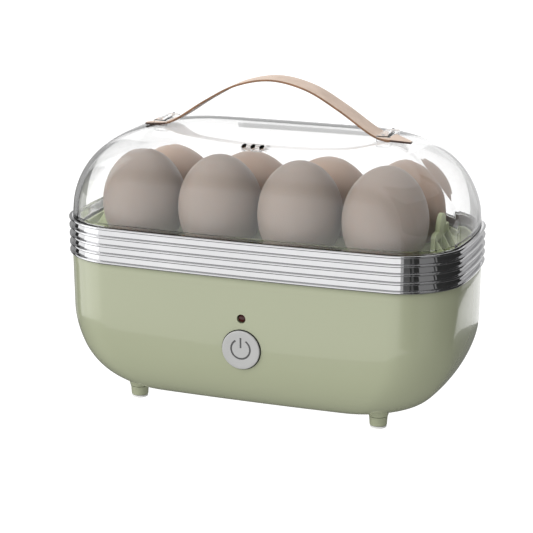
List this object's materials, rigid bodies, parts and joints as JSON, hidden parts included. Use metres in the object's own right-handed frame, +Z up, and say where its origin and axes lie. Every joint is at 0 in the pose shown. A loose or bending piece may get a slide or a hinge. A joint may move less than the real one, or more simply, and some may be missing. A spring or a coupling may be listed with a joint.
{
  "type": "egg cooker",
  "caption": "Loaf-shaped electric egg steamer: base with ribbed trim band and push button, heated water pan, lift-out egg tray, clear lid with strap handle.",
  "frame": {"origin": "on the floor, under the middle of the base", "axes": "+X along the long side to the right, +Y to the rear, +Z up; the power button faces -Y"},
  "size_m": [0.2296, 0.109, 0.1815],
  "materials": {
    "body": "glossy sage-green moulded plastic",
    "tray": "satin sage-green moulded plastic",
    "chrome": "bright plated trim",
    "clear": "clear colourless moulded plastic",
    "leather": "smooth tan leather with darker cut edges",
    "button": "satin silver-grey plastic",
    "lens": "dark red translucent lens",
    "foot_pad": "pale grey rubber",
    "pan": "brushed stainless steel",
    "seal": "off-white silicone",
    "element": "dark oxidised sheath",
    "steel": "plain zinc-plated steel",
    "brass": "bare brass",
    "ceramic": "off-white phenolic",
    "black_plastic": "black moulded plastic",
    "board": "green solder-resist circuit board",
    "wire": "coloured wire insulation"
  },
  "bodies": {
    "base": {"base_housing": "body", "bottom_cover": "body", "cover_screw_1": "steel", "cover_screw_2": "steel", "cover_screw_3": "steel", "cover_screw_4": "steel", "foot_front_left": "body", "foot_front_right": "body", "foot_rear_left": "body", "foot_rear_right": "body", "foot_pad_front_left": "foot_pad", "foot_pad_front_right": "foot_pad", "foot_pad_rear_left": "foot_pad", "foot_pad_rear_right": "foot_pad", "chrome_band": "chrome", "water_pan": "pan", "pan_seal": "seal", "heating_element": "element", "element_clamp_left": "steel", "element_clamp_right": "steel", "clamp_nut_left": "steel", "clamp_nut_right": "steel", "element_terminal_left": "brass", "element_terminal_right": "brass", "thermostat": "ceramic", "thermal_fuse": "steel", "button_guide": "black_plastic", "button_spring": "steel", "switch_body": "black_plastic", "circuit_board": "board", "board_screw_left": "steel", "board_screw_right": "steel", "relay": "black_plastic", "indicator_lens": "lens", "led_lamp": "ceramic", "inlet_socket": "black_plastic", "inlet_pin_left": "brass", "inlet_pin_right": "brass", "wire_live": "wire", "wire_neutral": "wire", "wire_element_left": "wire", "wire_element_right": "wire"},
    "tray": {"egg_tray": "tray"},
    "lid": {"lid_dome": "clear", "handle_strap": "leather", "strap_loop_left": "clear", "strap_loop_right": "clear", "loop_pin_left_front": "steel", "loop_pin_left_rear": "steel", "loop_pin_right_front": "steel", "loop_pin_right_rear": "steel"},
    "button": {"power_button": "button"}
  },
  "joints": [
    {"name": "tray_lift", "type": "slide", "parent": "base", "child": "tray", "axis": [0, 0, 1], "range_m": [0, 0.07]},
    {"name": "lid_lift", "type": "slide", "parent": "tray", "child": "lid", "axis": [0, 0, 1], "range_m": [0, 0.12]},
    {"name": "button_press", "type": "slide", "parent": "base", "child": "button", "axis": [0, 1, 0], "range_m": [0, 0.0015], "stiffness_N_per_m": 600, "deforming": ["button_spring"]}
  ]
}
